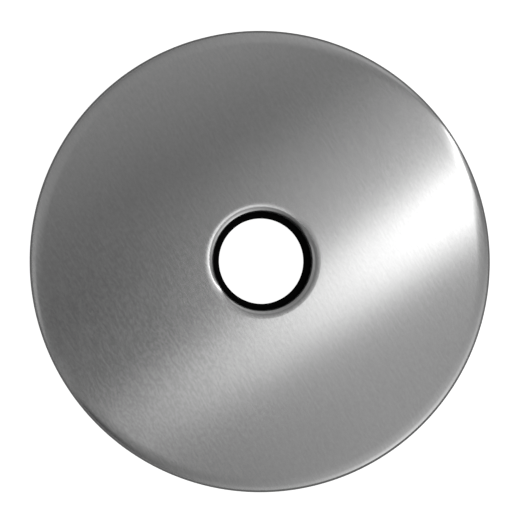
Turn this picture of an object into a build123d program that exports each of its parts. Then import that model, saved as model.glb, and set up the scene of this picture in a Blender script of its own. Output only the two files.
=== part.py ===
from build123d import *
import math
import os

# Raised dome cover for a round floor drain, millimetres, +Z up.
# Z = 0 is the lower edge of the support ring, which hangs in the drain throat.
# The drain's flange comes up to SEAT_Z, where the foot pads rest on it.

# Whole object
COVER_DIAMETER = 115.0
OVERALL_HEIGHT = 25.5
SEAT_Z = 14.0
RIM_EDGE_Z = 18.0
SECTORS = 6
SECTOR_ANGLE = 360.0 / SECTORS

# Cover plate, pressed from sheet
SHEET = 1.0
CROWN_RADIUS = 450.0
KNUCKLE_START_RADIUS = 54.0
KNUCKLE_BEND_RADIUS = 20.0
RIM_BEND_RADIUS = 2.0
COLLAR_RADIUS = 12.15
COLLAR_BEND_RADIUS = 1.25
COLLAR_SHOULDER_RADIUS = 9.7
COLLAR_SHOULDER_TILT = 6.0
COLLAR_EDGE_Z = 20.0

# Centre grommet, pushed up into the collar
GROMMET_BORE_RADIUS = 10.65
GROMMET_TOP_Z = 22.7
GROMMET_BOTTOM_Z = 18.4
GROMMET_HOOK_TOP_Z = 21.4
GROMMET_FLANGE_RADIUS = 15.0
GROMMET_TOP_ROUND = 0.55

# Support ring, moulded: a skirt with a ledge inside its lower edge
SKIRT_RADIUS = 43.0
WALL = 2.0
SKIRT_TOP_Z = 21.3
LEDGE_RADIUS = 39.5
LEDGE_THICKNESS = 1.2
EDGE_ROUND = 0.5

# Comb slots at the top of the skirt and windows at its bottom
COMB_SLOTS = 42
COMB_WIDTH = 3.2
COMB_BOTTOM_Z = 13.6
COMB_TOP_Z = 18.8
WINDOW_RAYS = 24
WINDOW_WIDTH = 6.0
WINDOW_BOTTOM_Z = 3.4
WINDOW_TOP_Z = 10.2

# Strainer tray, which drops onto the ledge, with its radial slots
TRAY_GAP = 0.2
TRAY_THICKNESS = 1.6
SLOT_RAYS = 30
SLOT_WIDTH = 2.5
SLOT_START = 20.5
SLOT_END = 38.5
WEB_HEIGHT = 2.2
WEB_THICKNESS = 1.8

# Hose sleeve, which snaps into the middle of the tray
SLEEVE_BORE_RADIUS = 14.0
SLEEVE_RADIUS = 15.8
SLEEVE_GAP = 0.1
SLEEVE_TOP_Z = 13.0
SLEEVE_FLANGE_RADIUS = 18.0
SLEEVE_FLANGE_THICKNESS = 1.0

# Outer ribs and the rubber pads under them
RIB_END_RADIUS = 52.0
RIB_THICKNESS = 2.4
RIB_TOP_Z = 21.0
FOOT_START_RADIUS = 45.5
FOOT_WIDTH = 7.0
FOOT_THICKNESS = 1.2
PAD_THICKNESS = 1.5
PAD_LENGTH = 5.5
PAD_WIDTH = 6.4
PAD_CENTRE_RADIUS = 48.8
PAD_CORNER = 1.2

# Locating pins under the cover and their sockets in the tray
PIN_CIRCLE_RADIUS = 30.0
PIN_RADIUS = 2.5
PIN_SHOULDER_RADIUS = 4.0
PIN_END_Z = 5.0
PIN_CHAMFER = 0.8
SOCKET_RADIUS = 4.5
SOCKET_TOP_Z = 14.0
SOCKET_FLOOR_Z = 3.4
SOCKET_CLEARANCE = 0.08
GROOVE_Z = 10.0
GROOVE_WIDTH = 1.2
GROOVE_RADIUS = 1.75
O_RING_RADIUS = 2.15
O_RING_SECTION_RADIUS = 0.39

# Retaining springs round the skirt and the rivets that hold them
SPRING_SHEET = 0.5
SPRING_WIDTH = 8.0
SPRING_CORNER = 1.5
SPRING_GAP = 0.45
SPRING_TOP_Z = 13.2
SPRING_KNEE_Z = 9.2
SPRING_BULGE_RADIUS = 46.7
SPRING_BULGE_Z = 5.6
SPRING_TIP_RADIUS = 43.9
SPRING_TIP_Z = 3.0
SPRING_KNEE_BEND = 1.5
SPRING_BULGE_BEND = 1.5
SPRING_WINDOW_WIDTH = 9.6
SPRING_WINDOW_BOTTOM_Z = 2.2
SPRING_WINDOW_TOP_Z = 9.6
RIVET_Z = 11.6
RIVET_RADIUS = 1.1
RIVET_HEAD_RADIUS = 1.8
RIVET_HEAD_HEIGHT = 0.55
RIVET_HEAD_ROUND = 0.4
RIVET_TAIL_RADIUS = 1.7
RIVET_TAIL_LENGTH = 1.1
RIVET_TAIL_GAP = 0.15
SPRING_HOLE_RADIUS = 1.5

COVER_RADIUS = COVER_DIAMETER / 2
SKIRT_INNER_RADIUS = SKIRT_RADIUS - WALL
TRAY_RADIUS = SKIRT_INNER_RADIUS - TRAY_GAP
TRAY_TOP_Z = LEDGE_THICKNESS + TRAY_THICKNESS
PIN_ANGLES = [0, 120, 240]
SPRING_ANGLES = [60, 180, 300]
RIB_ANGLES = [SECTOR_ANGLE * i for i in range(SECTORS)]


def tangent_centre(arc_centre, arc_radius, next_radius, centre_distance):
    """Centre of a smaller arc that runs on from a larger one, at a given distance from Z."""
    rise = math.sqrt((arc_radius - next_radius) ** 2 - (centre_distance - arc_centre[0]) ** 2)
    return (centre_distance, arc_centre[1] + rise)


# Centres, as (radius, height), of the arcs that make the pressed outline and meet tangentially
SHOULDER_TO_BEND = COLLAR_SHOULDER_RADIUS - COLLAR_BEND_RADIUS
TILT = math.radians(COLLAR_SHOULDER_TILT)
SHOULDER_CENTRE = (
    COLLAR_RADIUS + COLLAR_BEND_RADIUS + SHOULDER_TO_BEND * math.sin(TILT),
    OVERALL_HEIGHT - COLLAR_SHOULDER_RADIUS,
)
COLLAR_BEND_CENTRE = (
    COLLAR_RADIUS + COLLAR_BEND_RADIUS,
    SHOULDER_CENTRE[1] + SHOULDER_TO_BEND * math.cos(TILT),
)
CROWN_CENTRE_Z = SHOULDER_CENTRE[1] - math.sqrt(
    (CROWN_RADIUS - COLLAR_SHOULDER_RADIUS) ** 2 - SHOULDER_CENTRE[0] ** 2
)
CROWN_CENTRE = (0, CROWN_CENTRE_Z)
KNUCKLE_CENTRE = tangent_centre(
    CROWN_CENTRE,
    CROWN_RADIUS,
    KNUCKLE_BEND_RADIUS,
    KNUCKLE_START_RADIUS * (1 - KNUCKLE_BEND_RADIUS / CROWN_RADIUS),
)
RIM_BEND_CENTRE = tangent_centre(
    KNUCKLE_CENTRE, KNUCKLE_BEND_RADIUS, RIM_BEND_RADIUS, COVER_RADIUS - RIM_BEND_RADIUS
)


def direction(start, end):
    """Direction from one centre to another, in degrees from the radial axis."""
    return math.degrees(math.atan2(end[1] - start[1], end[0] - start[0]))


def lathe(outline):
    """Solid of revolution about Z from closed edges drawn as (radius, height)."""
    return revolve(Plane.XZ * make_face(outline), Axis.Z)


def ring(inner, outer, bottom, top):
    """Plain tube standing on bottom and reaching top."""
    height = top - bottom
    tube = extrude(Circle(outer) - Circle(inner), height)
    return Pos(0, 0, bottom) * tube


def disc(radius, bottom, top):
    """Plain cylinder standing on bottom and reaching top."""
    return Pos(0, 0, bottom) * extrude(Circle(radius), top - bottom)


def radial_block(start, end, width, bottom, top):
    """Block along +X from radius start to radius end."""
    middle = Pos((start + end) / 2, 0, (bottom + top) / 2)
    return middle * Box(end - start, width, top - bottom)


def turned(shape, angle):
    """The shape turned about Z."""
    return Rot(0, 0, angle) * shape


def radial_rod(radius, start, end, height):
    """Rod of round section along +X at the given height."""
    return Pos(start, 0, height) * Rot(0, 90, 0) * extrude(Circle(radius), end - start)


def pressed_outline(depth):
    """Edges of the pressed outline at one depth below the outer surface, from rim to collar."""
    rim_end = direction(KNUCKLE_CENTRE, RIM_BEND_CENTRE)
    knuckle_end = direction(CROWN_CENTRE, KNUCKLE_CENTRE)
    crown_end = direction(CROWN_CENTRE, SHOULDER_CENTRE)
    shoulder_end = 90 + COLLAR_SHOULDER_TILT
    side_radius = COVER_RADIUS - depth
    hole_radius = COLLAR_RADIUS + depth
    arcs = [
        (RIM_BEND_CENTRE, RIM_BEND_RADIUS, 0, rim_end),
        (KNUCKLE_CENTRE, KNUCKLE_BEND_RADIUS, rim_end, knuckle_end),
        (CROWN_CENTRE, CROWN_RADIUS, knuckle_end, crown_end),
        (SHOULDER_CENTRE, COLLAR_SHOULDER_RADIUS, crown_end, shoulder_end),
        (COLLAR_BEND_CENTRE, COLLAR_BEND_RADIUS, shoulder_end, 180),
    ]
    rim_side = Line((side_radius, RIM_EDGE_Z), (side_radius, RIM_BEND_CENTRE[1]))
    bends = [
        CenterArc(centre, radius - depth, start, end - start) for centre, radius, start, end in arcs
    ]
    collar_side = Line((hole_radius, COLLAR_BEND_CENTRE[1]), (hole_radius, COLLAR_EDGE_Z))
    return [rim_side] + bends + [collar_side]


def make_cover_plate():
    """Crowned disc with a turned-down rim and a collar drawn down round the centre hole."""
    rim_edge = Line((COVER_RADIUS, RIM_EDGE_Z), (COVER_RADIUS - SHEET, RIM_EDGE_Z))
    collar_edge = Line((COLLAR_RADIUS, COLLAR_EDGE_Z), (COLLAR_RADIUS + SHEET, COLLAR_EDGE_Z))
    return lathe(pressed_outline(0) + pressed_outline(SHEET) + [rim_edge, collar_edge])


def make_centre_grommet():
    """Rubber ring that lines the collar and hooks round its lower edge."""
    top_start = (GROMMET_BORE_RADIUS, GROMMET_TOP_Z - GROMMET_TOP_ROUND)
    top_middle = (GROMMET_BORE_RADIUS + GROMMET_TOP_ROUND, GROMMET_TOP_Z)
    round_centre = (
        GROMMET_BORE_RADIUS + GROMMET_TOP_ROUND,
        GROMMET_TOP_Z - GROMMET_TOP_ROUND,
    )
    hook_round = (GROMMET_FLANGE_RADIUS - COLLAR_RADIUS - SHEET) / 2
    hook_centre = (GROMMET_FLANGE_RADIUS - hook_round, GROMMET_HOOK_TOP_Z - hook_round)
    outline = [
        Line((GROMMET_BORE_RADIUS, GROMMET_BOTTOM_Z), top_start),
        CenterArc(round_centre, GROMMET_TOP_ROUND, 90, 90),
        Line(top_middle, (COLLAR_RADIUS, GROMMET_TOP_Z)),
        Line((COLLAR_RADIUS, GROMMET_TOP_Z), (COLLAR_RADIUS, COLLAR_EDGE_Z)),
        Line((COLLAR_RADIUS, COLLAR_EDGE_Z), (COLLAR_RADIUS + SHEET, COLLAR_EDGE_Z)),
        Line((COLLAR_RADIUS + SHEET, COLLAR_EDGE_Z), (COLLAR_RADIUS + SHEET, hook_centre[1])),
        CenterArc(hook_centre, hook_round, 0, 180),
        Line((GROMMET_FLANGE_RADIUS, hook_centre[1]), (GROMMET_FLANGE_RADIUS, GROMMET_BOTTOM_Z)),
        Line((GROMMET_FLANGE_RADIUS, GROMMET_BOTTOM_Z), (GROMMET_BORE_RADIUS, GROMMET_BOTTOM_Z)),
    ]
    return lathe(outline)


def round_top(tube):
    """A tube with both of its upper edges rounded."""
    upper_edges = tube.edges().filter_by(GeomType.CIRCLE).group_by(Axis.Z)[-1]
    return fillet(upper_edges, EDGE_ROUND)


def make_outer_rib():
    """Rib outside the skirt with the foot that carries a rubber pad."""
    foot_bottom = SEAT_Z + PAD_THICKNESS
    inner = SKIRT_RADIUS - WALL / 2
    rib = radial_block(inner, RIB_END_RADIUS, RIB_THICKNESS, foot_bottom, RIB_TOP_Z)
    top_corner = rib.edges().filter_by(Axis.Y).group_by(Axis.Z)[-1].sort_by(Axis.X)[-1]
    rib = chamfer(top_corner, 2)
    foot = radial_block(
        FOOT_START_RADIUS, RIB_END_RADIUS, FOOT_WIDTH, foot_bottom, foot_bottom + FOOT_THICKNESS
    )
    foot = fillet(foot.edges().filter_by(Axis.Z), 1)
    return rib + foot


def wall_cutter(width, bottom, top):
    """Block that cuts an upright opening through the skirt on the +X side."""
    return radial_block(SKIRT_INNER_RADIUS - WALL, SKIRT_RADIUS + WALL, width, bottom, top)


def is_beside(angle, places, pitch):
    """True where an angle lies within one pitch of any of the places."""
    gaps = [abs((angle - place + 180) % 360 - 180) for place in places]
    return min(gaps) < pitch


def rays(shape, count, kept_clear=()):
    """Copies of a shape turned evenly about Z, midway between marks, left out beside some places."""
    pitch = 360 / count
    angles = [pitch * (i + 0.5) for i in range(count)]
    if kept_clear:
        angles = [angle for angle in angles if not is_beside(angle, kept_clear, pitch)]
    return [turned(shape, angle) for angle in angles]


def make_support_ring():
    """Skirt with comb slots, windows and a ledge, and the ribs that rest on the drain flange."""
    support = round_top(ring(SKIRT_INNER_RADIUS, SKIRT_RADIUS, 0, SKIRT_TOP_Z))
    support += ring(LEDGE_RADIUS, SKIRT_RADIUS, 0, LEDGE_THICKNESS)
    rib = make_outer_rib()
    for angle in RIB_ANGLES:
        support += turned(rib, angle)
    comb_slot = wall_cutter(COMB_WIDTH, COMB_BOTTOM_Z, COMB_TOP_Z)
    window = wall_cutter(WINDOW_WIDTH, WINDOW_BOTTOM_Z, WINDOW_TOP_Z)
    spring_window = wall_cutter(
        SPRING_WINDOW_WIDTH, SPRING_WINDOW_BOTTOM_Z, SPRING_WINDOW_TOP_Z
    )
    rivet_hole = radial_rod(RIVET_RADIUS, SKIRT_INNER_RADIUS - WALL, SKIRT_RADIUS + WALL, RIVET_Z)
    cutters = rays(comb_slot, COMB_SLOTS) + rays(window, WINDOW_RAYS, SPRING_ANGLES)
    for angle in SPRING_ANGLES:
        cutters += [turned(spring_window, angle), turned(rivet_hole, angle)]
    return support - cutters


def make_strainer_tray():
    """Slotted disc that lies on the ledge, with low webs and the three pin sockets."""
    hole_radius = SLEEVE_RADIUS + SLEEVE_GAP
    tray = ring(hole_radius, TRAY_RADIUS, LEDGE_THICKNESS, TRAY_TOP_Z)
    web = radial_block(
        SLEEVE_FLANGE_RADIUS + SLEEVE_GAP,
        TRAY_RADIUS - WALL,
        WEB_THICKNESS,
        LEDGE_THICKNESS,
        TRAY_TOP_Z + WEB_HEIGHT,
    )
    for angle in RIB_ANGLES:
        tray += turned(web, angle)
    on_pin_circle = Pos(PIN_CIRCLE_RADIUS, 0, 0)
    socket = on_pin_circle * disc(SOCKET_RADIUS, LEDGE_THICKNESS, SOCKET_TOP_Z)
    bore = on_pin_circle * disc(PIN_RADIUS + SOCKET_CLEARANCE, SOCKET_FLOOR_Z, OVERALL_HEIGHT)
    slot_shape = SlotOverall(SLOT_END - SLOT_START, SLOT_WIDTH)
    slot = Pos((SLOT_START + SLOT_END) / 2, 0, 0) * extrude(slot_shape, TRAY_TOP_Z)
    for angle in PIN_ANGLES:
        tray += turned(socket, angle)
    cutters = rays(slot, SLOT_RAYS, PIN_ANGLES) + [turned(bore, angle) for angle in PIN_ANGLES]
    return tray - cutters


def make_hose_sleeve():
    """Open tube in the middle of the tray, with a flange that stops it there."""
    tube = round_top(ring(SLEEVE_BORE_RADIUS, SLEEVE_RADIUS, LEDGE_THICKNESS, SLEEVE_TOP_Z))
    flange_top_z = TRAY_TOP_Z + SLEEVE_FLANGE_THICKNESS
    middle_radius = (SLEEVE_BORE_RADIUS + SLEEVE_RADIUS) / 2
    return tube + ring(middle_radius, SLEEVE_FLANGE_RADIUS, TRAY_TOP_Z, flange_top_z)


def make_foot_pad():
    """Rubber pad stuck under a rib's foot; its underside is the seat plane."""
    pad = Pos(PAD_CENTRE_RADIUS, 0, SEAT_Z) * extrude(
        RectangleRounded(PAD_LENGTH, PAD_WIDTH, PAD_CORNER), PAD_THICKNESS
    )
    lower_edges = pad.edges().group_by(Axis.Z)[0]
    return chamfer(lower_edges, 0.3)


def make_locating_pin():
    """Pin with a shoulder, welded under the cover, grooved for an O-ring."""
    shoulder = disc(PIN_SHOULDER_RADIUS, SOCKET_TOP_Z, OVERALL_HEIGHT)
    shank = disc(PIN_RADIUS, PIN_END_Z, SOCKET_TOP_Z)
    shank = chamfer(shank.edges().group_by(Axis.Z)[0], PIN_CHAMFER)
    groove = ring(
        GROOVE_RADIUS, PIN_RADIUS + 1, GROOVE_Z - GROOVE_WIDTH / 2, GROOVE_Z + GROOVE_WIDTH / 2
    )
    pin = Pos(PIN_CIRCLE_RADIUS, 0, 0) * (shoulder + shank - groove)
    under_crown = Pos(0, 0, CROWN_CENTRE_Z) * Sphere(CROWN_RADIUS - SHEET)
    return pin & under_crown


def make_o_ring():
    """Rubber ring in a pin's groove."""
    return Pos(PIN_CIRCLE_RADIUS, 0, GROOVE_Z) * Torus(O_RING_RADIUS, O_RING_SECTION_RADIUS)


def make_retaining_spring():
    """Leaf spring that bulges outwards to grip the drain throat."""
    tab_radius = SKIRT_RADIUS + SPRING_GAP + SPRING_SHEET / 2
    knee = FilletPolyline(
        (tab_radius, SPRING_TOP_Z),
        (tab_radius, SPRING_KNEE_Z),
        (SPRING_BULGE_RADIUS, SPRING_BULGE_Z),
        (SPRING_TIP_RADIUS, SPRING_TIP_Z),
        radius=[SPRING_KNEE_BEND, SPRING_BULGE_BEND],
    )
    strip = Plane.XZ * trace(knee, SPRING_SHEET)
    leaf = extrude(strip, SPRING_WIDTH / 2, both=True)
    leaf_bottom = leaf.bounding_box().min.Z
    front = RectangleRounded(SPRING_TOP_Z - leaf_bottom, SPRING_WIDTH, SPRING_CORNER)
    middle = Pos(SKIRT_RADIUS, 0, (SPRING_TOP_Z + leaf_bottom) / 2)
    blank = middle * Rot(0, 90, 0) * extrude(front, SPRING_WIDTH)
    hole = radial_rod(SPRING_HOLE_RADIUS, SKIRT_RADIUS, SKIRT_RADIUS + WALL, RIVET_Z)
    return (leaf & blank) - hole


def make_spring_rivet():
    """Rivet through the skirt with its head outside the spring's tab."""
    head_start = SKIRT_RADIUS + 2 * SPRING_GAP + SPRING_SHEET
    shank = radial_rod(RIVET_RADIUS, SKIRT_INNER_RADIUS, head_start, RIVET_Z)
    head = radial_rod(RIVET_HEAD_RADIUS, head_start, head_start + RIVET_HEAD_HEIGHT, RIVET_Z)
    head = fillet(head.edges().group_by(Axis.X)[-1], RIVET_HEAD_ROUND)
    tail_end = SKIRT_INNER_RADIUS - RIVET_TAIL_GAP
    tail = radial_rod(RIVET_TAIL_RADIUS, tail_end - RIVET_TAIL_LENGTH, tail_end, RIVET_Z)
    neck = radial_rod(RIVET_RADIUS, tail_end, SKIRT_INNER_RADIUS, RIVET_Z)
    return shank + head + tail + neck


def write_parts():
    """One file per sub-part, named after its node."""
    parts = {
        "cover_plate": make_cover_plate(),
        "centre_grommet": make_centre_grommet(),
        "support_ring": make_support_ring(),
        "strainer_tray": make_strainer_tray(),
        "hose_sleeve": make_hose_sleeve(),
    }
    families = [
        ("foot_pad", make_foot_pad(), RIB_ANGLES),
        ("locating_pin", make_locating_pin(), PIN_ANGLES),
        ("pin_o_ring", make_o_ring(), PIN_ANGLES),
        ("retaining_spring", make_retaining_spring(), SPRING_ANGLES),
        ("spring_rivet", make_spring_rivet(), SPRING_ANGLES),
    ]
    for name, shape, angles in families:
        for number, angle in enumerate(angles, start=1):
            parts[f"{name}_{number}"] = turned(shape, angle)
    os.makedirs("parts", exist_ok=True)
    for name, shape in parts.items():
        export_step(shape, f"parts/{name}.step")


write_parts()
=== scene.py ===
"""Studio view of a brushed-steel floor drain cover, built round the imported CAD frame. Metres."""
import math

import bmesh
import bpy
from mathutils import Matrix, Vector


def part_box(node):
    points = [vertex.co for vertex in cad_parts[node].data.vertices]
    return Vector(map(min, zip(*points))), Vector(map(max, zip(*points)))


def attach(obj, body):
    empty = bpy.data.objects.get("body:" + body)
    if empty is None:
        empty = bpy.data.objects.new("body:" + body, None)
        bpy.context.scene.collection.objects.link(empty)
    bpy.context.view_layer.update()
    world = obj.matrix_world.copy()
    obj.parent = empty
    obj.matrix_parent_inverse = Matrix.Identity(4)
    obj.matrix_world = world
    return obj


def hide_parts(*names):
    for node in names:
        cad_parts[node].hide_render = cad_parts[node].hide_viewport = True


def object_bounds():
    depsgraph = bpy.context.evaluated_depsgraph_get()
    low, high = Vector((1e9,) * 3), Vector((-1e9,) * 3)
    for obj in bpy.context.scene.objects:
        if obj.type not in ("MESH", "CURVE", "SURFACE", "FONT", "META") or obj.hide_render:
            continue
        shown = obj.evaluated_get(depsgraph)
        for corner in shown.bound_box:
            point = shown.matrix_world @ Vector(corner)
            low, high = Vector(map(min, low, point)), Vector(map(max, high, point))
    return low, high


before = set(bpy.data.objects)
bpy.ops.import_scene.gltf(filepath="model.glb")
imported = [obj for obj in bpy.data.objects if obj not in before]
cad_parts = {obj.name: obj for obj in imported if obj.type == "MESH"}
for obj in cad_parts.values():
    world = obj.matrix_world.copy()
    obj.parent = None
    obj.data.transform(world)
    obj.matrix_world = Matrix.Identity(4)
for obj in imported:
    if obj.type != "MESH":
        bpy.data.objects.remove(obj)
CAD_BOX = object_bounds()
MM = 0.001

# ---------------------------------------------------------------- pressed cover outline
RIM_RADIUS = CAD_BOX[1].x
CROWN_TOP = CAD_BOX[1].z
RIM_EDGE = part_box("cover_plate")[0].z
SHEET = 1.0 * MM
CROWN_RADIUS = 450.0 * MM
KNUCKLE_START = 54.0 * MM
KNUCKLE_RADIUS = 20.0 * MM
RIM_BEND = 2.0 * MM
COLLAR_RADIUS = 12.15 * MM
COLLAR_BEND = 1.25 * MM
SHOULDER_RADIUS = 9.7 * MM
SHOULDER_TILT = math.radians(6)
COLLAR_EDGE = 20.0 * MM
CUT_EDGE_ROUND = 0.2 * MM

# ---------------------------------------------------------------- grommet outline
GROMMET_BORE = 10.65 * MM
GROMMET_LOW, GROMMET_HIGH = (corner.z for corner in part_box("centre_grommet"))
GROMMET_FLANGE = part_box("centre_grommet")[1].x
GROMMET_ROUND = 0.55 * MM
GROMMET_EDGE_ROUND = 0.3 * MM
GROMMET_HOOK_TOP = 21.4 * MM

# ---------------------------------------------------------------- brushing
GRAIN_ANGLE = math.radians(121.0)
ALONG_GRAIN = Vector((math.cos(GRAIN_ANGLE), math.sin(GRAIN_ANGLE), 0))
ACROSS_GRAIN = Vector((math.sin(GRAIN_ANGLE), -math.cos(GRAIN_ANGLE), 0))
# Marks per metre, across and along the grain
GROOVES = (1950, 900, 1)
STREAKS = (1500, 180, 1)
BLOTCHES = (60, 45, 1)
# The brush bit deepest round this place on the flat sheet, and least beyond the far distance
DEEP_PLACE = (-38 * MM, -3 * MM, 0)
DEEP_NEAR = 8 * MM
DEEP_FAR = 42 * MM
DEEPEST = 1.8
SHALLOWEST = 0.55

# ---------------------------------------------------------------- studio
# Pairs of a place and a tone, where 1 is white. A place is the part of a direction
# that lies along the grain (room tones) or across it (gains and strip), from -1 to 1.
ROOM_TONES = [
    (-1.0, 3.0), (-0.3, 1.2), (-0.2, 1.35), (-0.1, 0.5), (0.0, 0.6), (0.15, 0.25),
    (0.3, 0.45), (1.0, 0.35),
]
NEAR_WALL_GAINS = [(-1.0, 0.05), (-0.4, 0.2), (-0.2, 0.2), (0.1, 0.43), (1.0, 0.2)]
CEILING_GAINS = [(-0.4, 0.5), (-0.2, 0.1), (-0.1, 0.1), (0.05, 0.9), (0.3, 0.9), (0.6, 1.5)]
FAR_WALL_GAINS = [(-1.0, 1.1), (0.0, 0.65), (0.4, 1.0), (1.0, 1.4)]
NEAR_WALL_TOP = (-0.2, -0.05)
FAR_WALL_TOP = (0.05, 0.17)
STRIP_TONES = [(-0.3, 0.0), (-0.15, 0.5), (0.05, 0.6), (0.35, 2.4), (1.0, 2.0)]
STRIP_PLACE = -0.124
STRIP_SLOPE = 0.04
STRIP_BOW = 0.1
STRIP_HALF_WIDTH = 0.05
BACKDROP_TONE = 0.98

CAMERA_DISTANCE = 0.70
CAMERA_LEAN_X = math.radians(4.4)
CAMERA_LEAN_Y = math.radians(1.3)
CAMERA_TARGET = Vector((0.0, 0.045 * MM, RIM_EDGE + 1.8 * MM))
SEEN_WIDTH = 130.14 * MM
SENSOR_WIDTH = 36.0

TABLE_HALF_WIDTH = 6.0
# Painted shade: the table is greyer and glows less under and close round the object, out to these
# distances, standing in for the object's shadow on it
PAINTED_SHADE_ENDS = (0.3, 1.2)

LATHE_STEPS = 360


# ================================================================ meshes
def tangent_centre(centre, radius, next_radius, distance):
    """Centre of a smaller arc that runs on from a larger one, at a given distance from Z."""
    rise = math.sqrt((radius - next_radius) ** 2 - (distance - centre[0]) ** 2)
    return (distance, centre[1] + rise)


def direction(start, end):
    return math.atan2(end[1] - start[1], end[0] - start[0])


def arc(centre, radius, start, end, steps):
    """Points along an arc as (radius, height), both ends included."""
    angles = [start + (end - start) * i / steps for i in range(steps + 1)]
    return [
        (centre[0] + radius * math.cos(angle), centre[1] + radius * math.sin(angle))
        for angle in angles
    ]


def pressed_outline(depth):
    """Points of the pressed sheet at one depth below its outer surface, from rim to collar."""
    shoulder_step = SHOULDER_RADIUS - COLLAR_BEND
    shoulder_centre = (
        COLLAR_RADIUS + COLLAR_BEND + shoulder_step * math.sin(SHOULDER_TILT),
        CROWN_TOP - SHOULDER_RADIUS,
    )
    collar_centre = (
        COLLAR_RADIUS + COLLAR_BEND,
        shoulder_centre[1] + shoulder_step * math.cos(SHOULDER_TILT),
    )
    crown_drop = math.sqrt((CROWN_RADIUS - SHOULDER_RADIUS) ** 2 - shoulder_centre[0] ** 2)
    crown_centre = (0, shoulder_centre[1] - crown_drop)
    knuckle_centre = tangent_centre(
        crown_centre,
        CROWN_RADIUS,
        KNUCKLE_RADIUS,
        KNUCKLE_START * (1 - KNUCKLE_RADIUS / CROWN_RADIUS),
    )
    rim_centre = tangent_centre(knuckle_centre, KNUCKLE_RADIUS, RIM_BEND, RIM_RADIUS - RIM_BEND)
    rim_end = direction(knuckle_centre, rim_centre)
    knuckle_end = direction(crown_centre, knuckle_centre)
    crown_end = direction(crown_centre, shoulder_centre)
    shoulder_end = math.pi / 2 + SHOULDER_TILT
    points = arc(rim_centre, RIM_BEND - depth, 0, rim_end, 24)
    points += arc(knuckle_centre, KNUCKLE_RADIUS - depth, rim_end, knuckle_end, 10)[1:]
    points += arc(crown_centre, CROWN_RADIUS - depth, knuckle_end, crown_end, 40)[1:]
    points += arc(shoulder_centre, SHOULDER_RADIUS - depth, crown_end, shoulder_end, 10)[1:]
    points += arc(collar_centre, COLLAR_BEND - depth, shoulder_end, math.pi, 16)[1:]
    return points


def cover_outline():
    """Closed outline of the sheet, with its two cut edges eased."""
    outer = pressed_outline(0)
    inner = pressed_outline(SHEET)
    ease = CUT_EDGE_ROUND
    rim_cut = arc(
        (RIM_RADIUS - SHEET + ease, RIM_EDGE + ease), ease, math.pi, 1.5 * math.pi, 3
    ) + arc((RIM_RADIUS - ease, RIM_EDGE + ease), ease, 1.5 * math.pi, 2 * math.pi, 3)
    collar_cut = arc(
        (COLLAR_RADIUS + ease, COLLAR_EDGE + ease), ease, math.pi, 1.5 * math.pi, 3
    ) + arc(
        (COLLAR_RADIUS + SHEET - ease, COLLAR_EDGE + ease), ease, 1.5 * math.pi, 2 * math.pi, 3
    )
    return outer + collar_cut + inner[::-1] + rim_cut


def grommet_outline():
    """Closed outline of the rubber ring: lining, lower flange and the hook round the collar."""
    ease = GROMMET_ROUND
    outer_wall = COLLAR_RADIUS + SHEET
    hook = (GROMMET_FLANGE - outer_wall) / 2
    points = arc((GROMMET_BORE + ease, GROMMET_HIGH - ease), ease, math.pi, math.pi / 2, 8)
    edge = GROMMET_EDGE_ROUND
    points += arc((COLLAR_RADIUS - edge, GROMMET_HIGH - edge), edge, math.pi / 2, 0, 4)
    points += [(COLLAR_RADIUS, COLLAR_EDGE), (outer_wall, COLLAR_EDGE)]
    points += arc((outer_wall + hook, GROMMET_HOOK_TOP - hook), hook, math.pi, 0, 12)
    points += arc((GROMMET_FLANGE - ease, GROMMET_LOW + ease), ease, 0, -math.pi / 2, 6)
    points += arc((GROMMET_BORE + ease, GROMMET_LOW + ease), ease, -math.pi / 2, -math.pi, 6)
    return points


def lathe(name, outline, steps=LATHE_STEPS):
    """Closed solid of revolution, with UVs that lie as the flat sheet did before pressing."""
    mesh_data = bmesh.new()
    grain = mesh_data.loops.layers.uv.new("grain")
    rings = []
    for radius, height in outline:
        ring = []
        for i in range(steps):
            angle = 2 * math.pi * i / steps
            ring.append(
                mesh_data.verts.new((radius * math.cos(angle), radius * math.sin(angle), height))
            )
        rings.append(ring)
    radial = unrolled_radii(outline)
    count = len(outline)
    for j in range(count):
        k = (j + 1) % count
        for i in range(steps):
            m = (i + 1) % steps
            face = mesh_data.faces.new((rings[j][i], rings[k][i], rings[k][m], rings[j][m]))
            face.smooth = True
            corners = ((j, i), (k, i), (k, i + 1), (j, i + 1))
            for loop, (row, column) in zip(face.loops, corners):
                angle = 2 * math.pi * column / steps - GRAIN_ANGLE + math.pi / 2
                loop[grain].uv = (radial[row] * math.cos(angle), radial[row] * math.sin(angle))
    bmesh.ops.recalc_face_normals(mesh_data, faces=mesh_data.faces)
    mesh = bpy.data.meshes.new(name)
    mesh_data.to_mesh(mesh)
    mesh_data.free()
    piece = bpy.data.objects.new(name, mesh)
    bpy.context.collection.objects.link(piece)
    return piece


def unrolled_radii(outline):
    """Distance from the axis that each outline point would have with the sheet laid flat."""
    crest = max(range(len(outline)), key=lambda i: outline[i][1])
    radii = [0.0] * len(outline)
    radii[crest] = outline[crest][0]
    for step in (1, -1):
        run = outline[crest][0]
        previous = crest
        for offset in range(1, len(outline) // 2 + 1):
            index = (crest + step * offset) % len(outline)
            change = outline[index][0] - outline[previous][0]
            drop = outline[index][1] - outline[previous][1]
            run += math.copysign(math.hypot(change, drop), change if abs(change) > 1e-9 else 1)
            radii[index] = run
            previous = index
    return radii


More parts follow.
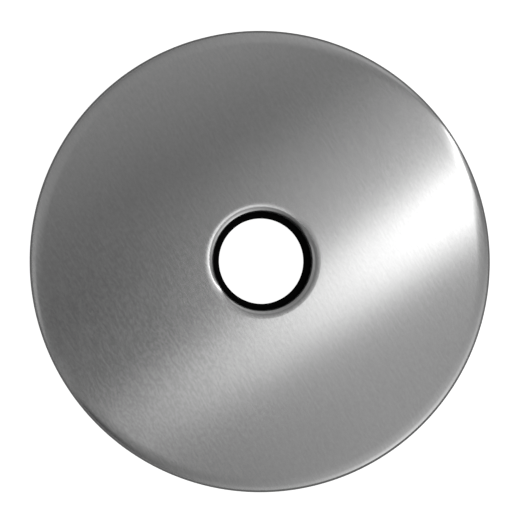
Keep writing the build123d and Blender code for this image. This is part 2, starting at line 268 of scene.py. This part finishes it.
# ================================================================ materials
class Nodes:
    """Short-hand for building a node tree."""

    def __init__(self, tree):
        self.tree = tree

    def add(self, kind, **values):
        node = self.tree.nodes.new(kind)
        for key, value in values.items():
            setattr(node, key, value)
        return node

    def join(self, source, target):
        self.tree.links.new(source, target)

    def math(self, operation, first, second):
        node = self.add("ShaderNodeMath", operation=operation)
        for socket, value in zip(node.inputs, (first, second)):
            if isinstance(value, (int, float)):
                socket.default_value = value
            else:
                self.join(value, socket)
        return node.outputs[0]

    def dot(self, vector, direction):
        node = self.add("ShaderNodeVectorMath", operation="DOT_PRODUCT")
        node.inputs[1].default_value = direction
        self.join(vector, node.inputs[0])
        return node.outputs["Value"]

    def noise(self, vector, scale, detail=2.0, roughness=0.5):
        node = self.add("ShaderNodeTexNoise")
        node.inputs["Scale"].default_value = scale
        node.inputs["Detail"].default_value = detail
        node.inputs["Roughness"].default_value = roughness
        self.join(vector, node.inputs["Vector"])
        return node.outputs["Fac"]

    def stretched(self, vector, scale):
        node = self.add("ShaderNodeMapping")
        node.inputs["Scale"].default_value = scale
        self.join(vector, node.inputs["Vector"])
        return node.outputs["Vector"]

    def remap(self, value, low, high, new_low, new_high):
        node = self.add("ShaderNodeMapRange")
        for name, number in zip(
            ("From Min", "From Max", "To Min", "To Max"), (low, high, new_low, new_high)
        ):
            node.inputs[name].default_value = number
        self.join(value, node.inputs["Value"])
        return node.outputs["Result"]

    def grey_scaled(self, colour, factor):
        """A constant colour made lighter or darker by a varying factor."""
        node = self.add("ShaderNodeVectorMath", operation="SCALE")
        node.inputs[0].default_value = colour
        self.join(factor, node.inputs["Scale"])
        return node.outputs["Vector"]

    def bump(self, height, distance, strength=1.0):
        node = self.add("ShaderNodeBump")
        node.inputs["Distance"].default_value = distance
        node.inputs["Strength"].default_value = strength
        self.join(height, node.inputs["Height"])
        return node.outputs["Normal"]


def new_material(name):
    """A material with an empty Principled shader, its node helper and the shader."""
    material = bpy.data.materials.new(name)
    material.use_nodes = True
    nodes = Nodes(material.node_tree)
    shader = material.node_tree.nodes["Principled BSDF"]
    return material, nodes, shader


def brushed_cover_steel():
    """Straight-line brushed stainless sheet: fine grooves, broken streaks and faint blotches."""
    material, nodes, shader = new_material("brushed_cover_steel")
    sheet = nodes.add("ShaderNodeUVMap", uv_map="grain").outputs["UV"]
    groove = nodes.noise(nodes.stretched(sheet, GROOVES), 1.0, 2.0, 0.5)
    streak = nodes.noise(nodes.stretched(sheet, STREAKS), 1.0, 2.0, 0.5)
    blotch = nodes.noise(nodes.stretched(sheet, BLOTCHES), 1.0, 2.0, 0.5)
    from_deep = nodes.add("ShaderNodeVectorMath", operation="DISTANCE")
    from_deep.inputs[1].default_value = DEEP_PLACE
    nodes.join(sheet, from_deep.inputs[0])
    depth = nodes.remap(
        from_deep.outputs["Value"], DEEP_NEAR, DEEP_FAR, DEEPEST, SHALLOWEST
    )
    marks = nodes.math(
        "ADD", nodes.remap(groove, 0, 1, -0.5, 0.5), nodes.remap(streak, 0, 1, -0.35, 0.35)
    )
    grain = nodes.math("MULTIPLY", marks, depth)
    tone = nodes.math(
        "ADD",
        nodes.remap(grain, -0.2, 0.2, 0.935, 1.065),
        nodes.remap(blotch, 0.3, 0.7, -0.012, 0.012),
    )
    nodes.join(nodes.grey_scaled((0.6, 0.6, 0.6), tone), shader.inputs["Base Color"])
    nodes.join(nodes.remap(grain, -0.4, 0.4, 0.2, 0.212), shader.inputs["Roughness"])
    nodes.join(nodes.bump(grain, 0.001 * MM), shader.inputs["Normal"])
    tangent = nodes.add("ShaderNodeTangent", direction_type="UV_MAP", uv_map="grain")
    nodes.join(tangent.outputs["Tangent"], shader.inputs["Tangent"])
    shader.inputs["Metallic"].default_value = 1.0
    shader.inputs["Anisotropic"].default_value = 0.91
    return material


def plain_steel(name, colour, roughness, grain_scale):
    """Rolled or turned steel on the small parts."""
    material, nodes, shader = new_material(name)
    place = nodes.add("ShaderNodeTexCoord").outputs["Object"]
    lines = nodes.noise(nodes.stretched(place, grain_scale), 1.0, 3.0, 0.6)
    blotch = nodes.noise(place, 220.0, 2.0, 0.5)
    tone = nodes.remap(lines, 0.3, 0.7, 0.85, 1.08)
    nodes.join(nodes.grey_scaled(colour, tone), shader.inputs["Base Color"])
    rough = nodes.math(
        "ADD",
        nodes.remap(lines, 0.3, 0.7, roughness - 0.05, roughness + 0.05),
        nodes.remap(blotch, 0.3, 0.7, -0.03, 0.03),
    )
    nodes.join(rough, shader.inputs["Roughness"])
    nodes.join(nodes.bump(lines, 0.004 * MM), shader.inputs["Normal"])
    shader.inputs["Metallic"].default_value = 1.0
    return material


def soft_polymer(name, colour, roughness, speckle, depth, specular=0.5):
    """Rubber or moulded plastic: fine speckle, slight dust and a shallow moulded texture."""
    material, nodes, shader = new_material(name)
    place = nodes.add("ShaderNodeTexCoord").outputs["Object"]
    grit = nodes.noise(place, speckle, 4.0, 0.65)
    cloud = nodes.noise(place, 90.0, 3.0, 0.5)
    tone = nodes.math(
        "ADD", nodes.remap(grit, 0.3, 0.7, 0.85, 1.15), nodes.remap(cloud, 0.3, 0.7, -0.12, 0.12)
    )
    nodes.join(nodes.grey_scaled(colour, tone), shader.inputs["Base Color"])
    rough = nodes.remap(cloud, 0.3, 0.7, roughness - 0.06, roughness + 0.06)
    nodes.join(rough, shader.inputs["Roughness"])
    nodes.join(nodes.bump(grit, depth), shader.inputs["Normal"])
    shader.inputs["Specular IOR Level"].default_value = specular
    return material


# ================================================================ the object's pieces
def paint(node, material):
    """Gives a CAD node its material."""
    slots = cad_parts[node].data.materials
    slots.clear()
    slots.append(material)


def make_pieces():
    cover = lathe("pressed_cover", cover_outline())
    cover.data.materials.append(brushed_cover_steel())
    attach(cover, "cover")
    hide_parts("cover_plate")

    grommet = lathe("rubber_ring", grommet_outline())
    grommet.data.materials.append(
        soft_polymer("grommet_rubber", (0.0012, 0.0012, 0.0012), 0.75, 2500.0, 0.01 * MM, 0.06)
    )
    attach(grommet, "cover")
    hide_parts("centre_grommet")

    dark_plastic = soft_polymer("dark_plastic", (0.09, 0.095, 0.1), 0.42, 1800.0, 0.012 * MM)
    tray_plastic = soft_polymer("tray_plastic", (0.16, 0.165, 0.17), 0.45, 1800.0, 0.012 * MM)
    pad_rubber = soft_polymer("pad_rubber", (0.03, 0.03, 0.032), 0.7, 2500.0, 0.015 * MM)
    pin_steel = plain_steel("turned_pin_steel", (0.58, 0.58, 0.585), 0.3, (400, 400, 5200))
    spring_steel = plain_steel("spring_strip", (0.62, 0.62, 0.615), 0.25, (900, 900, 160))
    rivet_steel = plain_steel("rivet_steel", (0.6, 0.6, 0.6), 0.32, (700, 700, 700))
    families = {
        "support_ring": dark_plastic,
        "strainer_tray": tray_plastic,
        "hose_sleeve": dark_plastic,
        "foot_pad": pad_rubber,
        "pin_o_ring": pad_rubber,
        "locating_pin": pin_steel,
        "retaining_spring": spring_steel,
        "spring_rivet": rivet_steel,
    }
    for family, material in families.items():
        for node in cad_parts:
            if node == family or node.rsplit("_", 1)[0] == family:
                paint(node, material)


# ================================================================ studio
def aim(place, target, across):
    """Matrix at a place, looking down its own -Z at the target, with its X near a direction."""
    back = (place - target).normalized()
    up = back.cross(across).normalized()
    side = up.cross(back)
    turn = Matrix((side, up, back)).transposed().to_4x4()
    return Matrix.Translation(place) @ turn


def make_camera():
    back = Vector((-math.tan(CAMERA_LEAN_X), -math.tan(CAMERA_LEAN_Y), 1)).normalized()
    place = CAMERA_TARGET + back * CAMERA_DISTANCE
    data = bpy.data.cameras.new("camera")
    camera = bpy.data.objects.new("camera", data)
    bpy.context.collection.objects.link(camera)
    data.sensor_width = SENSOR_WIDTH
    data.lens = SENSOR_WIDTH * CAMERA_DISTANCE / SEEN_WIDTH
    data.clip_start = 0.01
    camera.matrix_world = aim(place, CAMERA_TARGET, Vector((1, 0, 0)))
    bpy.context.scene.camera = camera


def make_floor():
    """Table top, evenly white to the camera, with painted shade close round the object: greyer and
    with less glow, which the steel reflects as the object's shadow.
    """
    mesh = bpy.data.meshes.new("table_top")
    half = TABLE_HALF_WIDTH
    corners = [(-half, -half, 0), (half, -half, 0), (half, half, 0), (-half, half, 0)]
    mesh.from_pydata(corners, [], [(0, 1, 2, 3)])
    floor = bpy.data.objects.new("table_top", mesh)
    bpy.context.collection.objects.link(floor)
    material, nodes, shader = new_material("table_top")
    output = material.node_tree.nodes["Material Output"]
    place = nodes.add("ShaderNodeTexCoord").outputs["Object"]
    distance = nodes.add("ShaderNodeVectorMath", operation="LENGTH")
    nodes.join(place, distance.inputs[0])
    away = distance.outputs["Value"]
    grit = nodes.remap(nodes.noise(place, 300.0, 3.0, 0.6), 0.3, 0.7, 0.97, 1.03)
    # Painted shade: the base colour is darker close round the object.
    tone = nodes.math("MULTIPLY", nodes.remap(away, *PAINTED_SHADE_ENDS, 0.35, 0.8), grit)
    nodes.join(nodes.grey_scaled((1, 1, 1), tone), shader.inputs["Base Color"])
    shader.inputs["Roughness"].default_value = 0.9
    glow = nodes.add("ShaderNodeEmission")
    glow.inputs["Color"].default_value = (1, 1, 1, 1)
    seen = nodes.add("ShaderNodeMix", data_type="FLOAT")
    nodes.join(nodes.add("ShaderNodeLightPath").outputs["Is Camera Ray"], seen.inputs["Factor"])
    # Painted shade: the glow that reflections see fades out close round the object.
    nodes.join(nodes.remap(away, *PAINTED_SHADE_ENDS, 0.0, 0.35), seen.inputs["A"])
    seen.inputs["B"].default_value = 1.0
    nodes.join(seen.outputs["Result"], glow.inputs["Strength"])
    mix = nodes.add("ShaderNodeAddShader")
    nodes.join(shader.outputs[0], mix.inputs[0])
    nodes.join(glow.outputs[0], mix.inputs[1])
    nodes.join(mix.outputs[0], output.inputs["Surface"])
    mesh.materials.append(material)


def ramp(nodes, place, knots):
    """Straight stretches between given pairs of a place in -1..1 and a tone."""
    top = max(value for _, value in knots)
    node = nodes.add("ShaderNodeValToRGB")
    elements = node.color_ramp.elements
    while len(elements) < len(knots):
        elements.new(0.5)
    for element, (position, value) in zip(elements, knots):
        element.position = position / 2 + 0.5
        element.color = (value / top, value / top, value / top, 1)
    nodes.join(nodes.remap(place, -1, 1, 0, 1), node.inputs["Fac"])
    return nodes.math("MULTIPLY", node.outputs["Color"], top)


def blend(nodes, place, ends, before, after):
    """Eases from one value to another as a place passes between two ends."""
    share = nodes.add("ShaderNodeMapRange", interpolation_type="SMOOTHSTEP")
    share.inputs["From Min"].default_value = ends[0]
    share.inputs["From Max"].default_value = ends[1]
    nodes.join(place, share.inputs["Value"])
    mix = nodes.add("ShaderNodeMix", data_type="FLOAT")
    nodes.join(share.outputs["Result"], mix.inputs["Factor"])
    nodes.join(before, mix.inputs["A"])
    nodes.join(after, mix.inputs["B"])
    return mix.outputs["Result"]


def room_tone(nodes, along, across):
    """The unlit room: two walls and the ceiling between them."""
    near_wall = ramp(nodes, across, NEAR_WALL_GAINS)
    ceiling = ramp(nodes, across, CEILING_GAINS)
    far_wall = ramp(nodes, across, FAR_WALL_GAINS)
    gain = blend(nodes, along, NEAR_WALL_TOP, near_wall, ceiling)
    gain = blend(nodes, along, FAR_WALL_TOP, gain, far_wall)
    return nodes.math("MULTIPLY", ramp(nodes, along, ROOM_TONES), gain)


def strip_tone(nodes, along, across):
    """A long light strip across the grain, slightly sloped and bowed, with soft edges."""
    slope = nodes.math("MULTIPLY", across, STRIP_SLOPE)
    bow = nodes.math("MULTIPLY", nodes.math("MULTIPLY", across, across), STRIP_BOW)
    middle = nodes.math("ADD", nodes.math("ADD", slope, bow), STRIP_PLACE)
    offset = nodes.math("DIVIDE", nodes.math("SUBTRACT", along, middle), STRIP_HALF_WIDTH)
    falloff = nodes.math("POWER", nodes.math("ABSOLUTE", offset, 0), 4.0)
    profile = nodes.math("POWER", math.exp(-1), falloff)
    return nodes.math("MULTIPLY", ramp(nodes, across, STRIP_TONES), profile)


def make_world():
    """The studio that the steel reflects, and a white backdrop for the camera."""
    world = bpy.data.worlds.new("studio")
    bpy.context.scene.world = world
    world.use_nodes = True
    nodes = Nodes(world.node_tree)
    sky = nodes.add("ShaderNodeTexCoord").outputs["Generated"]
    along = nodes.dot(sky, ALONG_GRAIN)
    across = nodes.dot(sky, ACROSS_GRAIN)
    reflected = nodes.math(
        "ADD", room_tone(nodes, along, across), strip_tone(nodes, along, across)
    )
    seen = nodes.add("ShaderNodeMix", data_type="FLOAT")
    nodes.join(nodes.add("ShaderNodeLightPath").outputs["Is Camera Ray"], seen.inputs["Factor"])
    nodes.join(reflected, seen.inputs["A"])
    seen.inputs["B"].default_value = BACKDROP_TONE
    background = world.node_tree.nodes["Background"]
    background.inputs["Color"].default_value = (1, 1, 1, 1)
    nodes.join(seen.outputs["Result"], background.inputs["Strength"])


bpy.context.scene.view_settings.view_transform = "Standard"
make_pieces()
make_floor()
make_world()
make_camera()
